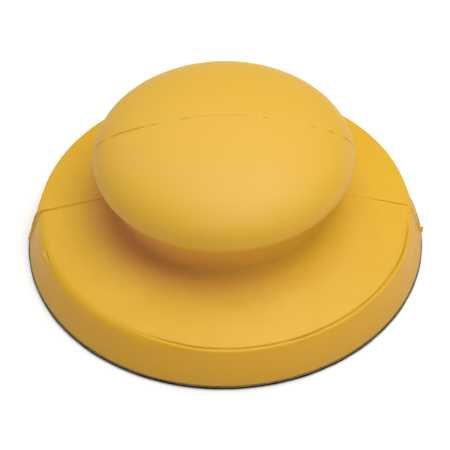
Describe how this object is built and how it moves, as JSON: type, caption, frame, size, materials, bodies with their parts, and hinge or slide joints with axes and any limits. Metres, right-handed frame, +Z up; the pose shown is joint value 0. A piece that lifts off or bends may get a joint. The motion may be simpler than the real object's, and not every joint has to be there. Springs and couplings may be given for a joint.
{
  "type": "grout float",
  "caption": "Round hand float: foam palm knob on a short neck over a drafted round base, with a hook-and-loop face underneath that holds washing and scouring pads.",
  "frame": {"origin": "centre of the hook-and-loop face, on the surface the float rests on", "axes": "+Z up along the axis the moulding is turned about, X along the mould's parting line, -Y towards the side seen first"},
  "size_m": [0.1518, 0.15, 0.0633],
  "materials": {
    "skin": "satin self-skinned polyurethane foam, golden yellow, as moulded",
    "foam": "open cellular foam",
    "adhesive": "dried contact adhesive",
    "cloth": "black woven polyamide tape",
    "hooks": "black polyamide hooks"
  },
  "bodies": {
    "root": {"moulded_skin": "skin", "foam_core": "foam", "adhesive_film": "adhesive", "hook_tape_ground": "cloth", "hook_pile": "hooks"}
  },
  "joints": []
}
